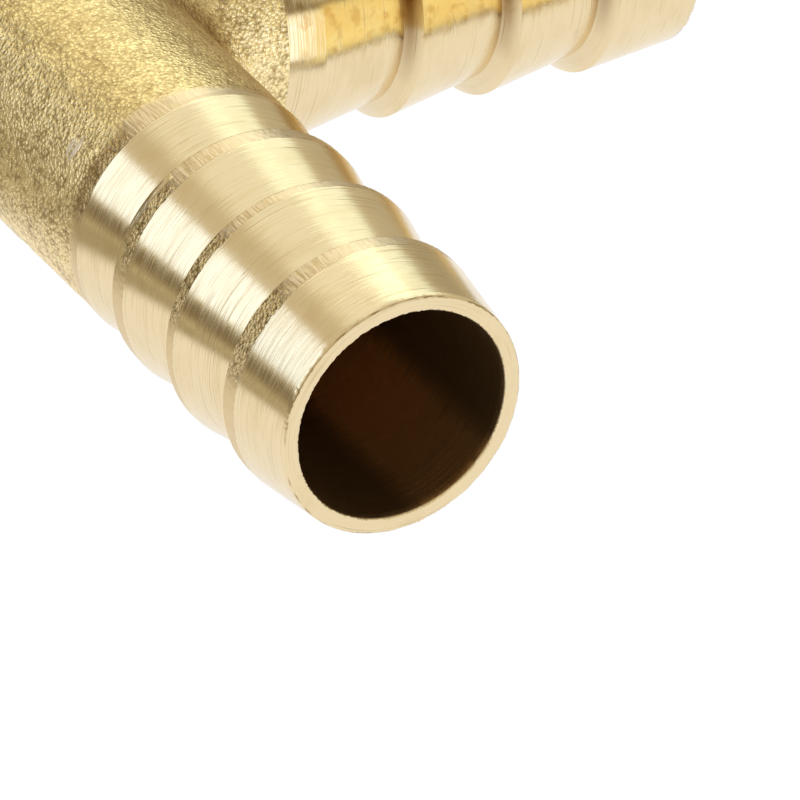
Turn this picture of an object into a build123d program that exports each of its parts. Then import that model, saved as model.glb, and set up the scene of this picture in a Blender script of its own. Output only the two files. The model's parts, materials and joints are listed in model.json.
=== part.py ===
from build123d import *
import os

# Barbed tee connector for 19 mm hose: a rough brass casting with three turned hose tails.
#
# Millimetres. The two run tails lie along X, the branch tail points along +Y and Z is up.
# The origin is where the run and branch axes cross.
#
# The real fitting is one piece of brass. It is split here where its make changes: the skin of
# the casting is one sub-part and each tail, turned on a lathe after casting, is another. They
# meet face to face at the edge where the lathe cut stops.

os.makedirs("parts", exist_ok=True)

# Overall layout: distance from the crossing of the axes to each mouth.
RUN_HALF_LENGTH = 52.0
BRANCH_LENGTH = 48.0

# Hose tail: the radii of the turned profile, and distances measured in from the mouth.
BORE_RADIUS = 7.85
TIP_RADIUS = 9.0
ROOT_RADIUS = 8.5
CREST_RADIUS = 9.75
FIRST_CREST = 7.0
BARB_PITCH = 7.75
BARB_COUNT = 3
LAND_WIDTH = 0.8
BACK_LENGTH = 0.85
RIM_BREAK = 0.12

# Last ramp: it climbs like the barbs until it meets the casting, or a turned collar.
RUN_SHOULDER_RADIUS = 9.55
BRANCH_COLLAR_LENGTH = 3.6

# Casting: plain run barrel, and a branch neck that flares towards its tail.
BARREL_RADIUS = 9.4
NECK_RADIUS = 9.1
NECK_MOUTH_RADIUS = 9.75
CORNER_RADIUS = 3.0

# Worked out from the sizes above.
RAMP_LENGTH = BARB_PITCH - BACK_LENGTH - LAND_WIDTH
RAMP_SLOPE = (CREST_RADIUS - ROOT_RADIUS) / RAMP_LENGTH
LAST_ROOT = FIRST_CREST + (BARB_COUNT - 1) * BARB_PITCH + BACK_LENGTH


def last_ramp_end(radius):
    """Distance from the mouth at which the last ramp reaches a radius."""
    return LAST_ROOT + (radius - ROOT_RADIUS) / RAMP_SLOPE


RUN_TAIL_LENGTH = last_ramp_end(RUN_SHOULDER_RADIUS)
BRANCH_TAIL_LENGTH = last_ramp_end(CREST_RADIUS) + BRANCH_COLLAR_LENGTH
BARREL_HALF_LENGTH = RUN_HALF_LENGTH - RUN_TAIL_LENGTH
NECK_LENGTH = BRANCH_LENGTH - BRANCH_TAIL_LENGTH


def tail_outline(shoulder_radius, tail_length):
    """Half section of a tail as (distance from the mouth, radius), from the bore round to the bore."""
    outline = [(0, BORE_RADIUS), (0, TIP_RADIUS)]
    for barb in range(BARB_COUNT):
        crest = FIRST_CREST + barb * BARB_PITCH
        outline.append((crest - LAND_WIDTH, CREST_RADIUS))
        outline.append((crest, CREST_RADIUS))
        outline.append((crest + BACK_LENGTH, ROOT_RADIUS))
    outline.append((last_ramp_end(shoulder_radius), shoulder_radius))
    if tail_length > outline[-1][0]:
        outline.append((tail_length, shoulder_radius))
    outline.append((tail_length, BORE_RADIUS))
    return outline


def barbed_tail(section_plane, shoulder_radius, tail_length):
    """One hose tail, turned about the plane's own x axis, which runs in from the mouth."""
    with BuildPart() as tail:
        with BuildSketch(section_plane):
            with BuildLine():
                Polyline(*tail_outline(shoulder_radius, tail_length), close=True)
            make_face()
        revolve(axis=Axis(section_plane.origin, section_plane.x_dir))
        rim_face = tail.faces().sort_by(Axis(section_plane.origin, section_plane.x_dir))[0]
        chamfer(rim_face.edges(), length=RIM_BREAK)
    return tail


# Cast body: the barrel and the neck with a rounded corner where they run into each other, bored through.
with BuildPart() as cast_tee_body:
    with BuildSketch(Plane.YZ.offset(-BARREL_HALF_LENGTH)):
        Circle(BARREL_RADIUS)
    extrude(amount=2 * BARREL_HALF_LENGTH)
    with BuildSketch(Plane.XY):
        with BuildLine():
            Polyline((0, 0), (NECK_RADIUS, 0), (NECK_MOUTH_RADIUS, NECK_LENGTH), (0, NECK_LENGTH), close=True)
        make_face()
    revolve(axis=Axis.Y)
    corner_edges = [
        edge for edge in cast_tee_body.edges()
        if edge.geom_type not in (GeomType.CIRCLE, GeomType.LINE)
    ]
    fillet(corner_edges, radius=CORNER_RADIUS)
    with BuildSketch(Plane.YZ.offset(-BARREL_HALF_LENGTH)):
        Circle(BORE_RADIUS)
    extrude(amount=2 * BARREL_HALF_LENGTH, mode=Mode.SUBTRACT)
    with BuildSketch(Plane.XZ):
        Circle(BORE_RADIUS)
    extrude(amount=-NECK_LENGTH, mode=Mode.SUBTRACT)

# Hose tails: each section plane has its x axis pointing in from the mouth and its y axis up.
front_section = Plane(origin=(RUN_HALF_LENGTH, 0, 0), x_dir=(-1, 0, 0), z_dir=(0, 1, 0))
rear_section = Plane(origin=(-RUN_HALF_LENGTH, 0, 0), x_dir=(1, 0, 0), z_dir=(0, -1, 0))
branch_section = Plane(origin=(0, BRANCH_LENGTH, 0), x_dir=(0, -1, 0), z_dir=(-1, 0, 0))

run_barb_front = barbed_tail(front_section, RUN_SHOULDER_RADIUS, RUN_TAIL_LENGTH)
run_barb_rear = barbed_tail(rear_section, RUN_SHOULDER_RADIUS, RUN_TAIL_LENGTH)
branch_barb = barbed_tail(branch_section, CREST_RADIUS, BRANCH_TAIL_LENGTH)

cast_tee_body.part.label = "cast_tee_body"
run_barb_front.part.label = "run_barb_front"
run_barb_rear.part.label = "run_barb_rear"
branch_barb.part.label = "branch_barb"

export_step(cast_tee_body.part, "parts/cast_tee_body.step")
export_step(run_barb_front.part, "parts/run_barb_front.step")
export_step(run_barb_rear.part, "parts/run_barb_rear.step")
export_step(branch_barb.part, "parts/branch_barb.step")
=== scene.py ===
import json
import math

import bmesh
import bpy
import numpy as np
from mathutils import Matrix, Vector


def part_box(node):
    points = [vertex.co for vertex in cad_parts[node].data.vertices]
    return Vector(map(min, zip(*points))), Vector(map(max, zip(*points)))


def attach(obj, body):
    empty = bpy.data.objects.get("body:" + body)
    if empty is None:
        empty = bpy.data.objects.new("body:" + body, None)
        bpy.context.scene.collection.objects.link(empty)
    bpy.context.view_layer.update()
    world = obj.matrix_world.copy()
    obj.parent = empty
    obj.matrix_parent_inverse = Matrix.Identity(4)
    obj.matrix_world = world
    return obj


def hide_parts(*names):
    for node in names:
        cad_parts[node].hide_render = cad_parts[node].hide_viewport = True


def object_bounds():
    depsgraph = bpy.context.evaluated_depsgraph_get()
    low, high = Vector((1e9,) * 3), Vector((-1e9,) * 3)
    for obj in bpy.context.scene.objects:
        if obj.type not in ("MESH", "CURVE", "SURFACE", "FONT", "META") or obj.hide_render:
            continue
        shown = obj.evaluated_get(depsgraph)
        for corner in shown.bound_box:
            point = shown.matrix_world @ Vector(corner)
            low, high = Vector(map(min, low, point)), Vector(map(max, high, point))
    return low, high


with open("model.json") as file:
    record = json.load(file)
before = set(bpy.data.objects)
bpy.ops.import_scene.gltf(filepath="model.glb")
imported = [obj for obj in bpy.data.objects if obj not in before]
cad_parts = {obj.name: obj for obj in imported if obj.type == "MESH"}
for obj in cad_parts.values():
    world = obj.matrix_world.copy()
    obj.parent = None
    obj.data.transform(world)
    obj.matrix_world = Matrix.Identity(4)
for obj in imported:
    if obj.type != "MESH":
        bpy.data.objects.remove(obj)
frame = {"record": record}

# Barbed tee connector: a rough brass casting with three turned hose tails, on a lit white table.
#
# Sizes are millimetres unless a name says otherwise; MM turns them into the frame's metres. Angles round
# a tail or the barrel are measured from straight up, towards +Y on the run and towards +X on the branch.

MM = 0.001
CAD_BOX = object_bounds()
MOUNTS = {mount["name"]: mount for mount in frame["record"]["mounts"]}

# ---------------------------------------------------------------- sizes taken from the frame
BORE_RADIUS = MOUNTS["run_bore"]["dims"]["r_mm"]
CREST_RADIUS = MOUNTS["front_hose_tail"]["dims"]["r_mm"]
RUN_HALF_LENGTH = CAD_BOX[1].x / MM
BRANCH_LENGTH = CAD_BOX[1].y / MM
FLOOR_GAP = 0.01
FLOOR = CAD_BOX[0].z / MM - FLOOR_GAP
RUN_TAIL_LENGTH = RUN_HALF_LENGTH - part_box("run_barb_front")[0].x / MM
BRANCH_TAIL_LENGTH = BRANCH_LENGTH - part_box("branch_barb")[0].y / MM
BARREL_HALF_LENGTH = RUN_HALF_LENGTH - RUN_TAIL_LENGTH
NECK_LENGTH = BRANCH_LENGTH - BRANCH_TAIL_LENGTH

# ---------------------------------------------------------------- sizes of the turned profile
TIP_RADIUS = 9.0
ROOT_RADIUS = 8.5
BARB_PITCH = 7.75
FIRST_CREST = 7.0
BARB_COUNT = 3
BACK_LENGTH = 0.85
NOMINAL_LAND = 0.8
CRESTS = [FIRST_CREST + barb * BARB_PITCH for barb in range(BARB_COUNT)]
LAST_ROOT = CRESTS[-1] + BACK_LENGTH

# The rim's broken edges: how far they reach, and the corner between the two facets of each.
RIM_BREAK = 0.12
RIM_FACET_DEPTH = 0.03
RIM_FACET_IN = 0.05
RIM_FACET_OUT = 0.07
BORE_START = 0.14

# Burrs on the rim's two edges, as long and short waves: height, wavelength, number of waves and seed.
OUTER_BURRS = [(0.012, 1.6, 30, 11), (0.018, 0.3, 40, 12)]
INNER_BURRS = [(0.012, 1.5, 30, 13), (0.022, 0.35, 40, 14)]

# ---------------------------------------------------------------- sizes of the casting
BARREL_RADIUS = 9.4
NECK_RADIUS = 9.1
NECK_MOUTH_RADIUS = 9.75

# The corner between barrel and neck is rounded by CORNER_RADIUS. It sharpens to the SHARPEST share of that
# on the top and the underside, and over CORNER_GROWTH towards the run's axis.
CORNER_RADIUS = 3.0
CORNER_GROWTH = 3.0
SHARPEST = 0.02

# Relief of the casting's skin, of the bands of it on the crests, and how near a tail it fades away.
SWELL_HEIGHT = 0.03
LUMP_HEIGHT = 0.013
LAND_LUMP_HEIGHT = 0.003
LAND_GRAIN_HEIGHT = 0.004
SKIN_EDGE = 1.2

# Marks on the barrel, by side and by distance from the run's mouth. The tool grazed a patch of the front
# half. It skimmed the skin next to a run tail as far as SKIM_REACH, and 1 mm further on SKIM_SIDE. Shade
# is painted where the last ramp cuts into the skin, up to the shade's reach given below, and on the barrel
# beside the neck.
GRAZE_SIDE = math.radians(-56)
GRAZE_SPREAD = math.radians(15)
GRAZE_PLACE = 31.8
GRAZE_REACH = 1.35
SKIM_SIDE = math.radians(-32)
SKIM_REACH = 28.6
CUT_SHADE_SIDE = math.radians(-44)
CUT_SHADE_SPREAD = 0.2
CUT_SHADE_REACH = 29.7
NECK_SHADE_SIDE = math.radians(38)
NECK_SHADE_SPREAD = math.radians(17)

# Sides of the tails and the barrel, as angles round them. The casting sat off centre in the lathe, so its
# raw skin is left on SKIN_SIDE. Where the tool only skimmed it, it chattered most on CHATTER_SIDE and cut
# cleaner on LOWER_SIDE. The casting is least rough on SMOOTH_SIDE. The bores' painted highlight, a lighter
# streak, lies on the side given last.
SKIN_SIDE = math.radians(-58)
CHATTER_SIDE = math.radians(-38)
SMOOTH_SIDE = math.radians(-10)
LOWER_SIDE = math.radians(-105)
BORE_HIGHLIGHT_SIDE = math.radians(143)

# The rough casting before turning: how far off centre it sat, and its own radius at each crest.
OFF_CENTRE = 0.075
BLANK_RADII = [9.745, 9.815, 9.67]
BLANK_MOUTH_RADIUS = 9.74

# Raw skin starts where the cosine of the angle from SKIN_SIDE passes the first number, over the second.
RAW_COSINE = 0.91
RAW_FADE = 0.055

# Columns of vertices round a tail and round each arm of the body, rows across a tail's rim, and rows along
# an arm's skin and bore.
AROUND = 512
BODY_AROUND = 384
RIM_ROWS = 4
SKIN_ROWS = 62
BORE_ROWS = 8

# Rows are close together this far before a tail's crests. The steps between them are finer on the run's
# tails, because bands of skin end there.
CLOSE_REACH = 2.2
FINE_STEP = 0.1
COARSE_STEP = 0.2

# The body's surface is searched between these distances from an arm's axis, by so many halvings. The
# crease between its arms settles in so many rounds.
NEAREST_SKIN = 7.0
FURTHEST_SKIN = 16.0
HALVINGS = 40
CREASE_ROUNDS = 60

# Stands for skin depth where there is no skin: the metal is turned there.
TURNED = -1.0


# ================================================================ rough skin of the casting
def wave_field(wavelength, count, seed):
    """A smooth random field: many cosine waves of about one wavelength in random directions."""
    draws = np.random.default_rng(seed)
    directions = draws.normal(size=(count, 3))
    directions /= np.linalg.norm(directions, axis=1)[:, None]
    lengths = wavelength * draws.uniform(0.7, 1.5, count)
    vectors = directions * (2 * np.pi / lengths)[:, None]
    phases = draws.uniform(0, 2 * np.pi, count)

    def field(points):
        total = np.zeros(len(points))
        for vector, phase in zip(vectors, phases):
            total += np.cos(points @ vector + phase)
        return total / math.sqrt(count / 2)

    return field


swell = wave_field(9.0, 24, 1)
lumps = wave_field(1.5, 40, 2)
grain = wave_field(0.42, 70, 3)


def skin_offset(points):
    """How far the casting's skin stands out of its nominal surface, in mm."""
    return SWELL_HEIGHT * swell(points) + LUMP_HEIGHT * lumps(points)


def land_offset(points):
    """The same for the bands of skin left on the crests, which are nearly true."""
    return LAND_LUMP_HEIGHT * lumps(points) + LAND_GRAIN_HEIGHT * grain(points)


def hump(value, centre, spread):
    """1 at the centre, falling smoothly to 0 on both sides."""
    return np.exp(-((value - centre) / spread) ** 2)


# ================================================================ mesh helpers
def grid_faces(rows, columns):
    """Quads of a grid of rows by columns of vertices, closed round the columns."""
    row, column = np.meshgrid(np.arange(rows - 1), np.arange(columns), indexing="ij")
    after = (column + 1) % columns
    faces = [row * columns + column, row * columns + after,
             (row + 1) * columns + after, (row + 1) * columns + column]
    return np.stack(faces, axis=-1).reshape(-1, 4)


def make_mesh(name, vertices_mm, faces, attributes):
    """A smooth shaded, welded mesh object from millimetre vertices, quads and vertex attributes."""
    mesh = bpy.data.meshes.new(name)
    mesh.from_pydata((vertices_mm * MM).tolist(), [], faces.tolist())
    for attribute, values in attributes.items():
        give_attribute(mesh, attribute, values)
    shape = bmesh.new()
    shape.from_mesh(mesh)
    bmesh.ops.remove_doubles(shape, verts=shape.verts, dist=0.002 * MM)
    bmesh.ops.recalc_face_normals(shape, faces=shape.faces)
    shape.to_mesh(mesh)
    shape.free()
    mesh.shade_smooth()
    mesh.set_sharp_from_angle(angle=math.radians(50))
    piece = bpy.data.objects.new(name, mesh)
    bpy.context.scene.collection.objects.link(piece)
    return piece


def give_attribute(mesh, name, values):
    """Stores one number or one vector for each vertex."""
    kind = "FLOAT" if values.ndim == 1 else "FLOAT_VECTOR"
    attribute = mesh.attributes.new(name, kind, "POINT")
    attribute.data.foreach_set("value" if kind == "FLOAT" else "vector", values.astype(np.float32).ravel())


# ================================================================ turned tails
def turned_radius(along, land):
    """Radius that the lathe tool leaves at a distance from the mouth.

    The ramps aim for the crest radius at a land's length before each crest, and run on past it until the
    skin of the casting stops them. With no land they reach it at the crest itself.
    """
    rise = CREST_RADIUS - ROOT_RADIUS
    slope = rise / (BARB_PITCH - BACK_LENGTH - land)
    first_slope = (CREST_RADIUS - TIP_RADIUS) / (FIRST_CREST - land)
    radius = TIP_RADIUS + first_slope * along
    full = TIP_RADIUS + first_slope * FIRST_CREST
    for crest in CRESTS:
        back = np.interp(along, [crest, crest + BACK_LENGTH], [full, ROOT_RADIUS])
        ramp = ROOT_RADIUS + slope * (along - crest - BACK_LENGTH)
        radius = np.where(along > crest, np.maximum(back, ramp), radius)
        full = ROOT_RADIUS + slope * (BARB_PITCH - BACK_LENGTH)
    return radius


def raw_side(angle):
    """1 on the side of the crests where the casting's skin is left raw, 0 where the tool skimmed it."""
    return np.clip((np.cos(angle - SKIN_SIDE) - RAW_COSINE) / RAW_FADE, 0, 1)


def blank_radius(along, angle, points, length):
    """Radius of the rough casting before turning: its own at each crest, off centre, then the body's.

    It never reaches below the crests' lowest point, where the part rests on the floor.
    """
    stations = [0.0] + CRESTS + [length - 1.0, length]
    radii = [BLANK_MOUTH_RADIUS] + BLANK_RADII + [BARREL_RADIUS + 0.1, BARREL_RADIUS]
    tail_share = np.clip((length - along) / 3.0, 0, 1)
    off_centre = OFF_CENTRE * np.cos(angle - SKIN_SIDE) - land_offset(points)
    radius = np.interp(along, stations, radii) - off_centre * tail_share
    return np.minimum(radius, CREST_RADIUS / np.maximum(-np.cos(angle), 0.9))


def tail_stations(length, step):
    """Distances from the mouth of the rows of a tail's outer skin, a step apart before every crest."""
    ramp_end = CLOSE_REACH + 0.2
    stations = list(np.linspace(RIM_BREAK, FIRST_CREST - ramp_end, 14))
    for crest in CRESTS:
        stations += list(np.arange(crest - CLOSE_REACH, crest - 0.02, step))
        stations += [crest - 0.02, crest, crest + 0.03]
        stations += list(np.linspace(crest + 0.1, crest + BACK_LENGTH, 7))
        stations += list(np.linspace(crest + BACK_LENGTH + 0.08, crest + BARB_PITCH - ramp_end, 10))
    stations += list(np.arange(LAST_ROOT + 3.3, length, 1.2 * step))
    stations = sorted({round(float(value), 4) for value in stations if value < length - 0.03})
    return np.array(stations + [length])


def tail_point(mouth, inward, up, side, along, radius, angle):
    """Points at distances, radii and angles round a tail, where angle 0 is up and 90 degrees is side."""
    radial = np.cos(angle)[..., None] * up + np.sin(angle)[..., None] * side
    return mouth + along[..., None] * inward + radius[..., None] * radial


def burrs(waves, points):
    """Heights of burrs at points, as the sum of their waves."""
    return sum(height * wave_field(wavelength, count, seed)(points)
               for height, wavelength, count, seed in waves)


def rim_and_bore_rows(round_mouth, length):
    """Rows of a tail's bore and then of its rim, each as distances from the mouth and radii."""
    rim_out = TIP_RADIUS - RIM_BREAK + burrs(OUTER_BURRS, round_mouth)
    rim_in = BORE_RADIUS + RIM_BREAK + burrs(INNER_BURRS, round_mouth)
    stations = np.concatenate([np.linspace(BORE_START, 12.0, 20), np.linspace(14.0, length, 6)])
    rows = [(np.full(AROUND, value), np.full(AROUND, BORE_RADIUS)) for value in stations[::-1]]
    rim = [(RIM_FACET_DEPTH, rim_in - RIM_FACET_IN), (0.0, rim_in),
           (0.0, rim_out), (RIM_FACET_DEPTH, rim_out + RIM_FACET_OUT)]
    return rows + [(np.full(AROUND, value), radius) for value, radius in rim]


def tail_marks(along, around, skin_depth, collar):
    """What the outer skin of a tail carries at each vertex: skin depth, raw side, painted shade and a
    painted reflection.

    The last crest has lost its skin where it is raw. Shade is painted in the groove behind each crest,
    heaviest on top of the branch tail. A mottled gold reflection is painted on the branch tail's upper
    half.
    """
    raw = raw_side(around)
    broken_edge = (along > CRESTS[-1] - 0.4) & (along < LAST_ROOT) & (raw > 0.3)
    from_groove = np.abs(along[..., None] - np.array(CRESTS) - 0.7 * BACK_LENGTH).min(axis=-1)
    # Painted shade in the grooves: on the branch tail heaviest on top, on the run tails even.
    groove_shade = np.clip(0.6 + 1.2 * np.cos(around), 0.08, 1) if collar else 0.35
    return {
        "skin_mm": np.where(broken_edge, TURNED, skin_depth),
        "raw": raw,
        "stain": hump(from_groove, 0.0, 0.4) * groove_shade,
        # Painted reflection: mottled gold on the branch tail's upper half.
        "tarnish": np.clip((np.cos(around) + 0.05) / 0.15, 0, 1) * collar,
    }


def tail_attributes(points, distances, radii, angles, marks):
    """A tail's vertex attributes: the marks on its outer skin, painted shadow of burrs along the rim's
    outer edge, and its bore.

    The rows of the bore and the rim come before those of the outer skin.
    """
    inner = len(distances) - len(marks["raw"])
    attributes = {}
    for name, outside in marks.items():
        inside = TURNED if name == "skin_mm" else 0.0
        attributes[name] = np.vstack([np.full((inner, AROUND), inside), outside]).ravel()
    edge = slice((inner - 1) * AROUND, inner * AROUND)
    # Patchy painted shadow of the burrs along the rim's outer edge.
    attributes["stain"][edge] = np.clip(0.25 + 0.4 * wave_field(1.1, 40, 15)(points[edge]), 0, 0.8)
    attributes["bore"] = np.zeros(len(points))
    attributes["bore"][:(inner - RIM_ROWS) * AROUND] = 1.0
    rings = distances.copy()
    rim = slice(inner - RIM_ROWS, inner)
    rings[rim] -= TIP_RADIUS - radii[rim]
    attributes["turning"] = np.stack([np.cos(angles), np.sin(angles), rings], axis=-1).reshape(-1, 3)
    return attributes


def barbed_tail(name, node, mouth, inward, side, length, collar):
    """One hose tail as a lathe surface.

    A run tail's crests keep a band of the casting's rough skin. The branch tail has a plain turned collar
    next to the casting, and sharp crests.
    """
    mouth, inward, side = (np.array(vector, float) for vector in (mouth, inward, side))
    up = np.array([0.0, 0.0, 1.0])
    angle = np.linspace(0, 2 * np.pi, AROUND, endpoint=False)
    stations = tail_stations(length, COARSE_STEP if collar else FINE_STEP)
    along, around = np.meshgrid(stations, angle, indexing="ij")
    turned = turned_radius(along, 0.0 if collar else NOMINAL_LAND)
    nominal = tail_point(mouth, inward, up, side, along, turned, around)
    if collar:
        turned = np.minimum(turned, CREST_RADIUS)
        blank = turned + 1.0
    else:
        blank = blank_radius(along.ravel(), around.ravel(), nominal.reshape(-1, 3), length)
        blank = blank.reshape(along.shape)
    outer = np.minimum(turned, blank)

    rows = rim_and_bore_rows(nominal[0], length) + list(zip(along, outer))
    distances = np.array([row[0] for row in rows])
    radii = np.array([row[1] for row in rows])
    angles = np.broadcast_to(angle, distances.shape)
    points = tail_point(mouth, inward, up, side, distances, radii, angles).reshape(-1, 3)

    last_row = (len(rows) - 1) * AROUND
    column = np.arange(AROUND)
    after = (column + 1) % AROUND
    end_ring = np.stack([last_row + column, last_row + after, after, column], axis=-1)
    faces = np.concatenate([grid_faces(len(rows), AROUND), end_ring])

    marks = tail_marks(along, around, turned - blank, collar)
    attributes = tail_attributes(points, distances, radii, angles, marks)
    piece = make_mesh(name, points, faces, attributes)
    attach(piece, "root")
    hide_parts(node)
    return piece


# ================================================================ cast body
def tee_distance(points):
    """Signed distance to the barrel and neck joined by a rounded corner."""
    x, y, z = points[..., 0], points[..., 1], points[..., 2]
    neck_radius = NECK_RADIUS + (NECK_MOUTH_RADIUS - NECK_RADIUS) * np.clip(y / NECK_LENGTH, 0, 1)
    from_run_axis = np.hypot(y, z)
    from_neck_axis = np.hypot(x, z)
    barrel = from_run_axis - BARREL_RADIUS
    behind = np.minimum(y, 0)
    neck = np.hypot(from_neck_axis, behind) - neck_radius
    facing = z * z / np.maximum(from_run_axis * from_neck_axis, 1e-6)
    corner = CORNER_RADIUS * np.clip(1 - facing, SHARPEST, 1) * np.clip(y / CORNER_GROWTH, SHARPEST, 1)
    inside = np.hypot(np.maximum(corner - barrel, 0), np.maximum(corner - neck, 0))
    return np.maximum(corner, np.minimum(barrel, neck)) - inside


def ray_radius(start, direction):
    """Distance along each ray from an axis to the tee's surface, by bisection."""
    low = np.full(start.shape[:-1], NEAREST_SKIN)
    high = np.full(start.shape[:-1], FURTHEST_SKIN)
    for _ in range(HALVINGS):
        middle = (low + high) / 2
        outside = tee_distance(start + middle[..., None] * direction) > 0
        high = np.where(outside, middle, high)
        low = np.where(outside, low, middle)
    return (low + high) / 2


def crease_radius(angle, surface):
    """Radius at which the surface crosses the plane that parts the barrel from the neck, at each angle."""
    if surface == "bore":
        return np.full(angle.shape, BORE_RADIUS)
    radius = np.full(angle.shape, BARREL_RADIUS)
    reach = np.maximum(np.sin(angle), 0)
    for _ in range(CREASE_ROUNDS):
        start = np.stack([radius * reach, np.zeros_like(angle), np.zeros_like(angle)], axis=-1)
        direction = np.stack([np.zeros_like(angle), np.sin(angle), np.cos(angle)], axis=-1)
        radius = 0.5 * radius + 0.5 * ray_radius(start, direction)
    return radius


def arm_points(angle, rows, surface, which):
    """A grid of points on one arm of the tee, from the crease or the middle plane out to the arm's end."""
    crease = crease_radius(angle, surface)
    reach = np.maximum(np.sin(angle), 0) if which != "neck" else np.abs(np.sin(angle))
    end = NECK_LENGTH if which == "neck" else BARREL_HALF_LENGTH
    first = crease * reach
    share = np.linspace(0, 1, rows)[:, None]
    along = first + (end - first) * share
    zero = np.zeros_like(along)
    sine = np.broadcast_to(np.sin(angle), along.shape)
    cosine = np.broadcast_to(np.cos(angle), along.shape)
    if which == "neck":
        start = np.stack([zero, along, zero], axis=-1)
        direction = np.stack([sine, zero, cosine], axis=-1)
    else:
        sign = 1 if which == "front" else -1
        start = np.stack([sign * along, zero, zero], axis=-1)
        direction = np.stack([zero, sine, cosine], axis=-1)
    radius = np.full(along.shape, BORE_RADIUS) if surface == "bore" else ray_radius(start, direction)
    return start + radius[..., None] * direction


def surface_normals(points):
    """Outward directions of the tee's skin, from differences of its signed distance."""
    steps = 0.05 * np.eye(3)
    slopes = [tee_distance(points + step) - tee_distance(points - step) for step in steps]
    normals = np.stack(slopes, axis=-1)
    return normals / np.linalg.norm(normals, axis=-1, keepdims=True)


def body_shell(surface, rows):
    """Vertices and faces of the tee's outer skin or crossing bores, with the last row of each arm."""
    angle = np.linspace(0, 2 * np.pi, BODY_AROUND, endpoint=False)
    folded = np.minimum(angle, 2 * np.pi - angle)
    neck = arm_points(folded, rows, surface, "neck")
    neck[:, angle > np.pi, 0] *= -1
    grids = [arm_points(angle, rows, surface, "front"), arm_points(angle, rows, surface, "rear"), neck]
    points = np.concatenate([grid.reshape(-1, 3) for grid in grids])
    faces = [grid_faces(rows, BODY_AROUND) + arm * rows * BODY_AROUND for arm in range(3)]
    ends = [(arm * rows + rows - 1) * BODY_AROUND for arm in range(3)]
    return points, np.concatenate(faces), ends


def grazed(points, angle, along):
    """Skin depth that nears zero only in a small patch, where the lathe tool just touched the casting."""
    across = (angle - GRAZE_SIDE) / GRAZE_SPREAD
    depth = np.clip(np.hypot(across, (along - GRAZE_PLACE) / GRAZE_REACH), 0, 1)
    return np.where(points[:, 0] > 0, depth, 1.0)


def skimmed(angle, along):
    """0 where the tool skimmed the run's skin beside the tails, 1 where it is raw."""
    reach = SKIM_REACH + np.clip(np.cos(angle - SKIM_SIDE) * 4 - 3, 0, 1)
    return np.maximum(raw_side(angle), np.clip((along - reach) / 0.7, 0, 1))


def painted_cast_shade(points, angle, along):
    """Painted shade where the last ramp cuts into the skin, in the rounded corners, and on the barrel
    beside the neck.
    """
    x, y, z = points.T
    cut = np.maximum(0.6 * raw_side(angle), 0.35 * hump(angle, CUT_SHADE_SIDE, CUT_SHADE_SPREAD))
    cut = cut * np.clip((CUT_SHADE_REACH - along) / 0.5, 0, 1)
    off_crease = (np.hypot(x, z) - NECK_RADIUS) - (np.hypot(y, z) - BARREL_RADIUS)
    corner = 0.7 * hump(off_crease, 0.8, 1.9) * np.clip(y / 3, 0, 1)
    beside_neck = 0.48 * hump(angle, NECK_SHADE_SIDE, NECK_SHADE_SPREAD) * np.clip((14.5 - y) / 4, 0, 1)
    return np.maximum(cut, np.maximum(corner, beside_neck))


def cast_body(name):
    """The cast middle of the tee: its rough outer skin, its crossing bores and the three end faces."""
    outer, outer_faces, outer_ends = body_shell("skin", SKIN_ROWS)
    bore, bore_faces, bore_ends = body_shell("bore", BORE_ROWS)
    from_tail = np.minimum(BARREL_HALF_LENGTH - np.abs(outer[:, 0]), NECK_LENGTH - outer[:, 1])
    rough = skin_offset(outer) * np.clip(from_tail / SKIN_EDGE, 0, 1)
    outer = outer + surface_normals(outer) * rough[:, None]
    points = np.concatenate([outer, bore])
    faces = [outer_faces, bore_faces + len(outer)]
    column = np.arange(BODY_AROUND)
    after = (column + 1) % BODY_AROUND
    for outer_end, bore_end in zip(outer_ends, bore_ends):
        inner = bore_end + len(outer)
        ring = [outer_end + column, outer_end + after, inner + after, inner + column]
        faces.append(np.stack(ring, axis=-1))
    angle = np.arctan2(points[:, 1], points[:, 2])
    along = RUN_HALF_LENGTH - np.abs(points[:, 0])
    is_bore = np.arange(len(points)) >= len(outer)
    attributes = {
        "skin_mm": np.where(is_bore, TURNED, grazed(points, angle, along)),
        "raw": skimmed(angle, along),
        # Painted shade on the casting's skin.
        "stain": painted_cast_shade(points, angle, along),
        "tarnish": np.zeros(len(points)),
        "bore": is_bore.astype(float),
        "turning": np.stack([np.cos(angle), np.sin(angle), along], axis=-1),
    }
    piece = make_mesh(name, points, np.concatenate(faces), attributes)
    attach(piece, "root")
    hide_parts("cast_tee_body")
    return piece


# ================================================================ shader helpers
def add(tree, kind, inputs=None, **settings):
    """Adds a shader node, sets its settings, and sets or links its inputs."""
    node = tree.nodes.new(kind)
    for key, value in settings.items():
        setattr(node, key, value)
    for key, value in (inputs or {}).items():
        if isinstance(value, bpy.types.NodeSocket):
            tree.links.new(value, node.inputs[key])
        else:
            node.inputs[key].default_value = value
    return node


def calculate(tree, operation, first, second=0.0, third=0.0):
    """A Math node's result."""
    return add(tree, "ShaderNodeMath", {0: first, 1: second, 2: third}, operation=operation).outputs[0]


def fade(tree, value, low, high, start=0.0, end=1.0):
    """Goes smoothly from start to end as value goes from low to high."""
    inputs = {"Value": value, "From Min": low, "From Max": high, "To Min": start, "To Max": end}
    return add(tree, "ShaderNodeMapRange", inputs, interpolation_type="SMOOTHSTEP").outputs[0]


def fade_mm(tree, value, low, high, start=0.0, end=1.0):
    """The same, with low and high in mm."""
    return fade(tree, value, low * MM, high * MM, start, end)


def stretched(tree, vector, scale):
    """A vector scaled along each of its axes."""
    return add(tree, "ShaderNodeVectorMath", {0: vector, 1: scale}, operation="MULTIPLY").outputs[0]


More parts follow.
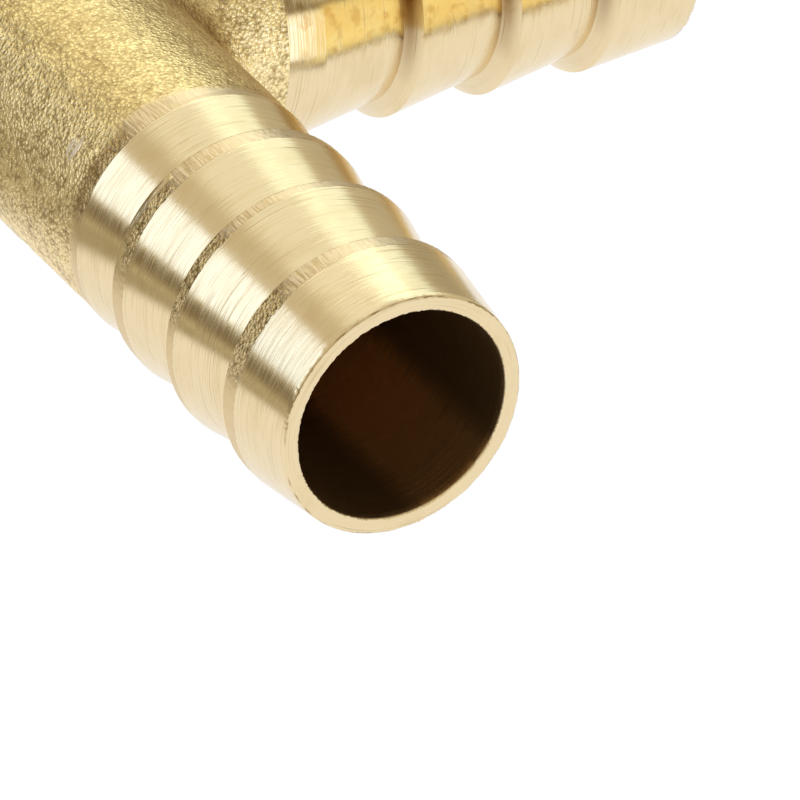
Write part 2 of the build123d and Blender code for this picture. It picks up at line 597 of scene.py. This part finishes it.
def noise(tree, vector, scale, detail=2.0, roughness=0.5):
    """Noise from 0 to 1 in a vector's space."""
    inputs = {"Vector": vector, "Scale": scale, "Detail": detail, "Roughness": roughness}
    return add(tree, "ShaderNodeTexNoise", inputs).outputs[0]


def cells(tree, vector, scale):
    """Distance from the middles of rounded cells in a vector's space."""
    return add(tree, "ShaderNodeTexVoronoi", {"Vector": vector, "Scale": scale}).outputs["Distance"]


def blend(tree, share, first, second):
    """Mixes two colours."""
    node = add(tree, "ShaderNodeMix", data_type="RGBA")
    for key, value in ((0, share), (6, first), (7, second)):
        if isinstance(value, bpy.types.NodeSocket):
            tree.links.new(value, node.inputs[key])
        else:
            node.inputs[key].default_value = value
    return node.outputs[2]


def mix_numbers(tree, share, first, second):
    """Mixes two numbers."""
    node = add(tree, "ShaderNodeMix", {0: share, 2: first, 3: second}, data_type="FLOAT")
    return node.outputs[0]


# ================================================================ brass
TURNED_COLOUR = (0.83, 0.68, 0.42, 1)
TURNED_STAIN = (0.74, 0.57, 0.31, 1)
TURNED_LINE = (0.66, 0.50, 0.26, 1)
SKIMMED_COLOUR = (0.72, 0.58, 0.385, 1)
SKIMMED_DARK = (0.49, 0.365, 0.20, 1)
SKIN_LIGHT = (0.98, 0.79, 0.405, 1)
SKIN_DARK = (0.49, 0.355, 0.155, 1)
LAND_LIGHT = (0.74, 0.57, 0.29, 1)
LAND_DARK = (0.26, 0.17, 0.065, 1)
BORE_COLOUR = (0.34, 0.20, 0.075, 1)
# A painted highlight: the lighter streak along one side of the bores.
BORE_HIGHLIGHT_COLOUR = (1.0, 0.50, 0.16, 1)
# A painted reflection on the branch tail: mottled gold with orange spots.
REFLECTION_GOLD_COLOUR = (0.83, 0.65, 0.36, 1)
REFLECTION_SPOT_COLOUR = (0.60, 0.37, 0.14, 1)
PIT_COLOUR = (0.30, 0.20, 0.09, 1)
# Painted shade: in the tails' grooves, along the rims' outer edges, and on the casting.
PAINTED_SHADE_COLOUR = (0.21, 0.095, 0.02, 1)
WITNESS_COLOUR = (1.0, 0.83, 0.58, 1)
# Painted shade that darkens the bores towards their mouths.
BORE_MOUTH_SHADE_COLOUR = (0.10, 0.06, 0.03, 1)

TURNED_ROUGHNESS = 0.165
BORE_ROUGHNESS = 0.55
WITNESS_ROUGHNESS = 0.30

# Heights of the bump, in mm: tool rings outside and in the bore, chatter marks, and the casting's grains.
RING_HEIGHT = 0.011
BORE_RING_HEIGHT = 0.03
CHATTER_HEIGHT = 0.05
GRAIN_HEIGHT = 0.118

# How many coarse and fine grains of the casting make up a metre.
GRAINS_PER_METRE = 3400.0
FINES_PER_METRE = 6500.0


def vertex_number(tree, name):
    """A number stored on the mesh's vertices."""
    return add(tree, "ShaderNodeAttribute", attribute_name=name).outputs["Fac"]


def towards(tree, turning, side):
    """1 on the side of a tail's or the barrel's axis at an angle from up, -1 on the far side."""
    cosine, sine, _ = add(tree, "ShaderNodeSeparateXYZ", {0: turning}).outputs
    sideways = calculate(tree, "MULTIPLY", sine, math.sin(side))
    return calculate(tree, "MULTIPLY_ADD", cosine, math.cos(side), sideways)


def turned_finish(tree, turning):
    """Colour, roughness and height of turned brass.

    Fine tool rings, heaviest on the raw side, a few scratches, pale stains, and a painted reflection:
    mottled gold with orange spots.
    """
    place = add(tree, "ShaderNodeTexCoord").outputs["Object"]
    fine = noise(tree, stretched(tree, turning, (1.1, 1.1, 9.0)), 1.0, 3.0, 0.7)
    broad = noise(tree, stretched(tree, turning, (1.2, 1.2, 2.4)), 1.0, 2.0)
    brushed = noise(tree, stretched(tree, turning, (2.6, 2.6, 11.0)), 1.0, 2.0, 0.6)
    scratch = noise(tree, stretched(tree, turning, (1.6, 1.6, 14.0)), 1.0, 0.0)
    scratch = fade(tree, scratch, 0.73, 0.85)
    stain = noise(tree, stretched(tree, turning, (2.2, 2.2, 0.45)), 1.0, 4.0, 0.6)
    marked = fade(tree, towards(tree, turning, SKIN_SIDE), 0.4, 0.97, 0.25, 1.0)
    height = calculate(tree, "MULTIPLY_ADD", broad, 0.9, fine)
    height = calculate(tree, "MULTIPLY_ADD", scratch, -0.5, height)
    colour = blend(tree, fade(tree, stain, 0.45, 0.75, 0.0, 0.6), TURNED_COLOUR, TURNED_STAIN)
    lined = calculate(tree, "MULTIPLY", fade(tree, brushed, 0.50, 0.70, 0.0, 0.6), marked)
    colour = blend(tree, lined, colour, TURNED_LINE)
    colour = blend(tree, calculate(tree, "MULTIPLY", scratch, 0.35), colour, PIT_COLOUR)
    # A painted reflection of mottled gold with orange spots, where the vertices ask for it.
    clouds = noise(tree, place, 600.0, 3.0, 0.55)
    spots = noise(tree, place, 900.0, 2.0, 0.5)
    painted_reflection_colour = blend(tree, fade(tree, clouds, 0.42, 0.60), REFLECTION_GOLD_COLOUR, colour)
    painted_reflection_colour = blend(tree, fade(tree, spots, 0.50, 0.70, 0.0, 0.55), painted_reflection_colour, REFLECTION_SPOT_COLOUR)
    colour = blend(tree, vertex_number(tree, "tarnish"), colour, painted_reflection_colour)
    uneven = calculate(tree, "MULTIPLY", fade(tree, brushed, 0.35, 0.65, -0.07, 0.08), marked)
    roughness = calculate(tree, "ADD", uneven, TURNED_ROUGHNESS)
    return colour, roughness, calculate(tree, "MULTIPLY", height, RING_HEIGHT)


def bored_finish(tree, turning):
    """Colour, roughness and height of the dull bores: painted shade at the mouths, fine rings and a
    painted highlight along one side, a lighter streak.
    """
    along = add(tree, "ShaderNodeSeparateXYZ", {0: turning}).outputs["Z"]
    rings = noise(tree, stretched(tree, turning, (0.8, 0.8, 16.0)), 1.0, 1.0, 0.7)
    # Painted highlight: a lighter streak along the bore on one side.
    painted_highlight = calculate(tree, "POWER", fade(tree, towards(tree, turning, BORE_HIGHLIGHT_SIDE), 0.81, 1.0), 2.0)
    painted_highlight = calculate(tree, "MULTIPLY", painted_highlight, fade(tree, rings, 0.3, 0.7, 1.1, 1.9))
    deep = blend(tree, painted_highlight, BORE_COLOUR, BORE_HIGHLIGHT_COLOUR)
    # Painted shade: the bore darkens towards its mouth.
    colour = blend(tree, fade(tree, along, 14.0, 0.0, 0.0, 0.7), deep, BORE_MOUTH_SHADE_COLOUR)
    return colour, BORE_ROUGHNESS, calculate(tree, "MULTIPLY", rings, BORE_RING_HEIGHT)


def skimmed_finish(tree, turning):
    """Colour, roughness and height of skin that the tool skimmed, with chatter marks along the axis."""
    marks = noise(tree, stretched(tree, turning, (62.0, 62.0, 0.5)), 1.0, 2.0, 0.6)
    chatter = fade(tree, towards(tree, turning, CHATTER_SIDE), 0.78, 0.97, 0.12, 1.0)
    dark = calculate(tree, "MULTIPLY", fade(tree, marks, 0.62, 0.38), chatter)
    cleaner = fade(tree, towards(tree, turning, LOWER_SIDE), 0.75, 0.95)
    colour = blend(tree, dark, blend(tree, cleaner, SKIMMED_COLOUR, TURNED_STAIN), SKIMMED_DARK)
    roughness = fade(tree, marks, 0.3, 0.7, 0.32, 0.46)
    height = calculate(tree, "MULTIPLY", calculate(tree, "MULTIPLY", marks, chatter), CHATTER_HEIGHT)
    return colour, roughness, height


def skin_finish(tree, turning, light, dark):
    """Colour, roughness and height of the casting's grained skin, which is shallow on its smooth side."""
    depth = fade(tree, towards(tree, turning, SMOOTH_SIDE), 0.70, 0.98, 1.0, 0.5)
    place = add(tree, "ShaderNodeTexCoord").outputs["Object"]
    bent = noise(tree, place, 900.0, 1.0)
    pebbles = cells(tree, place, GRAINS_PER_METRE)
    fines = cells(tree, place, FINES_PER_METRE)
    patches = noise(tree, place, 230.0, 3.0, 0.6)
    height = calculate(tree, "MULTIPLY_ADD", bent, 0.7, calculate(tree, "MULTIPLY", pebbles, -0.8))
    height = calculate(tree, "MULTIPLY_ADD", fines, -0.35, height)
    shade = calculate(tree, "MULTIPLY_ADD", patches, 0.35, height)
    shade = calculate(tree, "MULTIPLY", calculate(tree, "ADD", shade, 0.17), depth)
    shade = calculate(tree, "ADD", shade, fade(tree, depth, 1.0, 0.5, 0.0, -0.125))
    colour = blend(tree, fade(tree, shade, -0.31, 0.31), dark, light)
    roughness = fade(tree, pebbles, 0.1, 0.6, 0.24, 0.38)
    height = calculate(tree, "MULTIPLY", height, depth)
    return colour, roughness, calculate(tree, "MULTIPLY", height, GRAIN_HEIGHT)


def mixed_finish(tree, share, first, second):
    """Mixes two finishes, each a colour, a roughness and a height."""
    return (blend(tree, share, first[0], second[0]),
            mix_numbers(tree, share, first[1], second[1]),
            mix_numbers(tree, share, first[2], second[2]))


def brass(name, skin_light, skin_dark):
    """Brass that is turned metal where skin_mm is below zero and the casting's skin where it is above.

    The cast body is skin all over except in its bores, with bright streaks where its skin_mm is near zero.
    """
    material = bpy.data.materials.new(name)
    material.use_nodes = True
    tree = material.node_tree
    tree.nodes.clear()
    turning = add(tree, "ShaderNodeAttribute", attribute_name="turning").outputs["Vector"]
    turned = turned_finish(tree, turning)
    turned = mixed_finish(tree, vertex_number(tree, "bore"), turned, bored_finish(tree, turning))
    raw = vertex_number(tree, "raw")
    grains = skin_finish(tree, turning, skin_light, skin_dark)
    skin = mixed_finish(tree, raw, skimmed_finish(tree, turning), grains)
    if name == "cast_brass":
        lines = noise(tree, stretched(tree, turning, (1.2, 1.2, 8.0)), 1.0, 1.0)
        ungrazed = fade(tree, vertex_number(tree, "skin_mm"), 0.2, 1.0, 0.0, 0.6)
        lines = calculate(tree, "ADD", lines, ungrazed)
        cut = fade(tree, lines, 0.57, 0.47)
        cut = calculate(tree, "MULTIPLY", cut, fade(tree, vertex_number(tree, "bore"), 1.0, 0.0))
        skin = mixed_finish(tree, cut, skin, (WITNESS_COLOUR, WITNESS_ROUGHNESS, 0.0))
        on_skin = fade(tree, vertex_number(tree, "bore"), 1.0, 0.0)
    else:
        on_skin = fade(tree, vertex_number(tree, "skin_mm"), -0.004, 0.006)
    colour, roughness, height = mixed_finish(tree, on_skin, turned, skin)
    # Painted shade where the vertices ask for it.
    colour = blend(tree, vertex_number(tree, "stain"), colour, PAINTED_SHADE_COLOUR)
    bump = add(tree, "ShaderNodeBump", {"Height": height, "Strength": 1.0, "Distance": MM}).outputs[0]
    shader = add(tree, "ShaderNodeBsdfPrincipled",
                 {"Base Color": colour, "Roughness": roughness, "Metallic": 1.0, "Normal": bump})
    output = add(tree, "ShaderNodeOutputMaterial")
    tree.links.new(shader.outputs[0], output.inputs["Surface"])
    return material


# ================================================================ table, lights and camera
# The camera aims at this point of the table, where the middle of the picture is.
AIM = (36.4, 9.3)
CAMERA_AZIMUTH = 58.48
CAMERA_ELEVATION = 31.03
CAMERA_ROLL = 4.06
CAMERA_DISTANCE = 1349.9
CAMERA_LENS = 900.0
CAMERA_LIMIT_METRES = 20.0

TABLE_SIZE = 6000.0
TABLE_COLOUR = (0.04, 0.04, 0.04, 1)
TABLE_LIGHT = (0.985, 0.985, 1.0, 1)

# The dim sheet starts outside a circle of the table, and past a slanting line close behind the object.
FAR_TABLE_LIGHT = (0.45, 0.405, 0.29, 1)
SHEET_GAP = 0.005
LIT_CENTRE = (75.0, 45.0)
LIT_RADIUS = 88.0
LIT_EDGE = 22.0
LINE_SLANT = 0.8
LINE_START = 2.0
LINE_END = -12.0

# The air round the object, by height and by bearing.
HORIZON_COLOUR = (0.67, 0.63, 0.50, 1)
BEHIND_COLOUR = (0.20, 0.16, 0.09, 1)
RAISED_COLOUR = (0.70, 0.64, 0.51, 1)
OVERHEAD_COLOUR = (1.0, 1.0, 0.93, 1)
SOFT_BOX_DISTANCE = 900.0

# A long dark strip beside the run, from one place along it to another.
FLAG_PLACE = -55.0
FLAG_START = 130.0
FLAG_END = -160.0
FLAG_TOP = 8.5
FLAG_FOOT_COLOUR = (0.62, 0.56, 0.40, 1)
FLAG_COLOUR = (0.23, 0.19, 0.12, 1)
FLAG_EDGE_COLOUR = (0.50, 0.45, 0.33, 1)

# A low card beside the branch, from one place along it to another, and a dark card on top of its end.
CARD_PLACE = 24.0
CARD_START = 80.0
CARD_END = 15.0
CARD_TOP = 10.5
SHADE_START = 24.0
SHADE_TOP = 17.0
GOLD_END = 25.5
WHITE_START = 22.8
GLARE_FADE = (22.5, 20.8)
FOOT_RISE = 3.5
GOLD_COLOUR = (1.02, 0.80, 0.35, 1)
PALE_GOLD_COLOUR = (1.18, 1.10, 0.64, 1)
WHITE_COLOUR = (1.2, 1.22, 1.25, 1)
GLARE_COLOUR = (2.0, 2.35, 3.3, 1)
CARD_EDGE_COLOUR = (0.2, 0.13, 0.04, 1)
CARD_FOOT_COLOUR = (0.12, 0.08, 0.03, 1)
SHADE_COLOUR = (0.08, 0.055, 0.02, 1)


def clear_behind(tree, shader):
    """Ends a material with a shader on the front of its faces and nothing on their back."""
    clear = add(tree, "ShaderNodeBsdfTransparent").outputs[0]
    back = add(tree, "ShaderNodeNewGeometry").outputs["Backfacing"]
    face = add(tree, "ShaderNodeMixShader", {0: back, 1: shader, 2: clear}).outputs[0]
    output = add(tree, "ShaderNodeOutputMaterial")
    tree.links.new(face, output.inputs["Surface"])


def flat_square(name, height):
    """A large level square on the stage at a height; returns it and its empty material's tree."""
    half = TABLE_SIZE / 2
    corners = np.array([(-half, -half), (half, -half), (half, half), (-half, half)])
    points = np.column_stack([corners, np.full(4, height)])
    mesh = bpy.data.meshes.new(name)
    mesh.from_pydata((points * MM).tolist(), [], [(0, 1, 2, 3)])
    square = bpy.data.objects.new(name, mesh)
    bpy.context.scene.collection.objects.link(square)
    material = bpy.data.materials.new(name)
    material.use_nodes = True
    material.node_tree.nodes.clear()
    mesh.materials.append(material)
    return square, material.node_tree


def lit_table():
    """A plain white lit table, clear from underneath so that the object's underside can be seen."""
    _, tree = flat_square("table", FLOOR)
    shader = add(tree, "ShaderNodeBsdfPrincipled",
                 {"Base Color": TABLE_COLOUR, "Roughness": 0.9, "Specular IOR Level": 0.0,
                  "Emission Color": TABLE_LIGHT, "Emission Strength": 1.0}).outputs[0]
    clear_behind(tree, shader)


def dim_surroundings():
    """Makes the table look dimmer away from the object and behind it, but only in reflections."""
    sheet, tree = flat_square("dim_surroundings", FLOOR + SHEET_GAP)
    sheet.visible_camera = False
    sheet.visible_shadow = False
    place = add(tree, "ShaderNodeTexCoord").outputs["Object"]
    centre = (LIT_CENTRE[0] * MM, LIT_CENTRE[1] * MM, FLOOR * MM)
    from_centre = add(tree, "ShaderNodeVectorMath", {0: place, 1: centre}, operation="DISTANCE")
    glow = add(tree, "ShaderNodeEmission", {"Color": FAR_TABLE_LIGHT, "Strength": 1.0}).outputs[0]
    clear = add(tree, "ShaderNodeBsdfTransparent").outputs[0]
    far = fade_mm(tree, from_centre.outputs["Value"], LIT_RADIUS, LIT_RADIUS + LIT_EDGE)
    x, y, _ = add(tree, "ShaderNodeSeparateXYZ", {0: place}).outputs
    before_line = calculate(tree, "MULTIPLY_ADD", y, LINE_SLANT, x)
    far = calculate(tree, "MAXIMUM", far, fade_mm(tree, before_line, LINE_START, LINE_END))
    face = add(tree, "ShaderNodeMixShader", {0: far, 1: clear, 2: glow}).outputs[0]
    output = add(tree, "ShaderNodeOutputMaterial")
    tree.links.new(face, output.inputs["Surface"])


def direction_towards(azimuth, elevation):
    """Unit vector at an azimuth from +X towards +Y and an elevation, in degrees."""
    bearing = math.radians(azimuth)
    rise = math.radians(elevation)
    level = math.cos(rise)
    return Vector((math.cos(bearing) * level, math.sin(bearing) * level, math.sin(rise)))


def soft_box(name, azimuth, elevation, width, height, radiance, turn=0.0):
    """A rectangular soft light at a bearing from the object, facing it; sizes in degrees of view."""
    brightest = max(radiance)
    direction = direction_towards(azimuth, elevation)
    light = bpy.data.lights.new(name, "AREA")
    light.shape = "RECTANGLE"
    light.size = 2 * SOFT_BOX_DISTANCE * MM * math.tan(math.radians(width / 2))
    light.size_y = 2 * SOFT_BOX_DISTANCE * MM * math.tan(math.radians(height / 2))
    light.color = [level / brightest for level in radiance]
    light.energy = brightest * math.pi * light.size * light.size_y
    box = bpy.data.objects.new(name, light)
    facing = direction.to_track_quat("Z", "Y").to_matrix() @ Matrix.Rotation(math.radians(turn), 3, "Z")
    box.matrix_world = Matrix.Translation(direction * SOFT_BOX_DISTANCE * MM) @ facing.to_4x4()
    bpy.context.scene.collection.objects.link(box)


def studio_air():
    """Surroundings that are dim near the horizon, most of all behind the object, and pale overhead."""
    world = bpy.data.worlds.new("studio")
    world.use_nodes = True
    bpy.context.scene.world = world
    tree = world.node_tree
    tree.nodes.clear()
    ray = add(tree, "ShaderNodeTexCoord").outputs["Generated"]
    x, _, up = add(tree, "ShaderNodeSeparateXYZ", {0: ray}).outputs
    behind = fade(tree, x, -0.5, -0.78)
    horizon = blend(tree, behind, HORIZON_COLOUR, BEHIND_COLOUR)
    lower = blend(tree, fade(tree, up, 0.2, 0.6), horizon, RAISED_COLOUR)
    overhead = fade(tree, calculate(tree, "MULTIPLY_ADD", x, -0.5, up), 1.0, 1.1)
    colour = blend(tree, overhead, lower, OVERHEAD_COLOUR)
    background = add(tree, "ShaderNodeBackground", {"Color": colour, "Strength": 1.0})
    output = add(tree, "ShaderNodeOutputWorld")
    tree.links.new(background.outputs[0], output.inputs["Surface"])


def unseen_card(name, start, end, bottom, top):
    """An upright card between two points, out of the camera's sight; returns its material's tree."""
    corners = [(*start, bottom), (*end, bottom), (*end, top), (*start, top)]
    mesh = bpy.data.meshes.new(name)
    mesh.from_pydata((np.array(corners) * MM).tolist(), [], [(0, 1, 2, 3)])
    card = bpy.data.objects.new(name, mesh)
    card.visible_camera = False
    card.visible_shadow = False
    bpy.context.scene.collection.objects.link(card)
    material = bpy.data.materials.new(name)
    material.use_nodes = True
    material.node_tree.nodes.clear()
    mesh.materials.append(material)
    return material.node_tree


def glow_in_front(tree, colour):
    """Makes a card's face glow in a colour and its back clear."""
    clear_behind(tree, add(tree, "ShaderNodeEmission", {"Color": colour, "Strength": 1.0}).outputs[0])


def dark_flag():
    """A long dark strip along the run's side, which the turned tails mirror as one dark line."""
    tree = unseen_card("dark_flag", (FLAG_START, FLAG_PLACE), (FLAG_END, FLAG_PLACE), FLOOR, FLAG_TOP)
    place = add(tree, "ShaderNodeTexCoord").outputs["Object"]
    z = add(tree, "ShaderNodeSeparateXYZ", {0: place}).outputs["Z"]
    colour = blend(tree, fade_mm(tree, z, FLOOR, FLOOR + 9), FLAG_FOOT_COLOUR, FLAG_COLOUR)
    colour = blend(tree, fade_mm(tree, z, FLAG_TOP - 5, FLAG_TOP), colour, FLAG_EDGE_COLOUR)
    glow_in_front(tree, colour)


def bounce_card():
    """A low card beside the branch that glows in mottled gold, and in white next to the casting.

    Its top edge and its foot are dark. Next to the casting the foot is raised, over white like the
    table's, and a dark card stands on top.
    """
    tree = unseen_card("bounce_card", (CARD_PLACE, CARD_START), (CARD_PLACE, CARD_END), FLOOR, CARD_TOP)
    place = add(tree, "ShaderNodeTexCoord").outputs["Object"]
    _, y, z = add(tree, "ShaderNodeSeparateXYZ", {0: place}).outputs
    mottle = fade(tree, noise(tree, place, 260.0, 3.0, 0.6), 0.35, 0.65)
    colour = blend(tree, mottle, GOLD_COLOUR, PALE_GOLD_COLOUR)
    colour = blend(tree, fade_mm(tree, y, GOLD_END, WHITE_START), colour, WHITE_COLOUR)
    colour = blend(tree, fade_mm(tree, y, *GLARE_FADE), colour, GLARE_COLOUR)
    colour = blend(tree, fade_mm(tree, z, CARD_TOP - 2.3, CARD_TOP - 1.3), colour, CARD_EDGE_COLOUR)
    raised = fade_mm(tree, y, GOLD_END, WHITE_START, 0.0, FOOT_RISE * MM)
    height = calculate(tree, "SUBTRACT", z, raised)
    colour = blend(tree, fade_mm(tree, height, FLOOR + 2.0, FLOOR + 1.5), colour, CARD_FOOT_COLOUR)
    colour = blend(tree, fade_mm(tree, height, FLOOR + 0.2, FLOOR - 0.2), colour, TABLE_LIGHT)
    glow_in_front(tree, colour)

    ends = (CARD_PLACE, SHADE_START), (CARD_PLACE, CARD_END)
    shade = unseen_card("shade_card", *ends, CARD_TOP, SHADE_TOP)
    glow_in_front(shade, SHADE_COLOUR)


def camera():
    """A long lens looking down at the front mouth from the front right."""
    data = bpy.data.cameras.new("camera")
    data.lens = CAMERA_LENS
    data.clip_end = CAMERA_LIMIT_METRES
    view = bpy.data.objects.new("camera", data)
    back = direction_towards(CAMERA_AZIMUTH - 90, CAMERA_ELEVATION)
    aim = Vector((AIM[0] * MM, AIM[1] * MM, FLOOR * MM))
    roll = Matrix.Rotation(math.radians(CAMERA_ROLL), 3, "Z")
    turn = (-back).to_track_quat("-Z", "Y").to_matrix() @ roll
    view.matrix_world = Matrix.Translation(aim + back * CAMERA_DISTANCE * MM) @ turn.to_4x4()
    bpy.context.scene.collection.objects.link(view)
    bpy.context.scene.camera = view


# ================================================================ the scene
pieces = [
    cast_body("cast_body_skin"),
    barbed_tail("front_tail", "run_barb_front", (RUN_HALF_LENGTH, 0, 0), (-1, 0, 0), (0, 1, 0),
                RUN_TAIL_LENGTH, False),
    barbed_tail("rear_tail", "run_barb_rear", (-RUN_HALF_LENGTH, 0, 0), (1, 0, 0), (0, 1, 0),
                RUN_TAIL_LENGTH, False),
    barbed_tail("branch_tail", "branch_barb", (0, BRANCH_LENGTH, 0), (0, -1, 0), (1, 0, 0),
                BRANCH_TAIL_LENGTH, True),
]
turned = brass("turned_brass", LAND_LIGHT, LAND_DARK)
cast = brass("cast_brass", SKIN_LIGHT, SKIN_DARK)
for piece in pieces:
    piece.data.materials.append(cast if piece.name == "cast_body_skin" else turned)

lit_table()
dim_surroundings()
studio_air()
soft_box("side_soft_box", -112, 23.6, 38, 33.6, (0.68, 0.92, 1.45))
soft_box("back_soft_box", 138, 42, 42, 33, (0.54, 0.72, 0.80), turn=-22)
soft_box("left_soft_box", 171, 33, 48, 32, (0.98, 0.98, 0.78))
dark_flag()
bounce_card()
camera()
bpy.context.scene.view_settings.view_transform = "Standard"
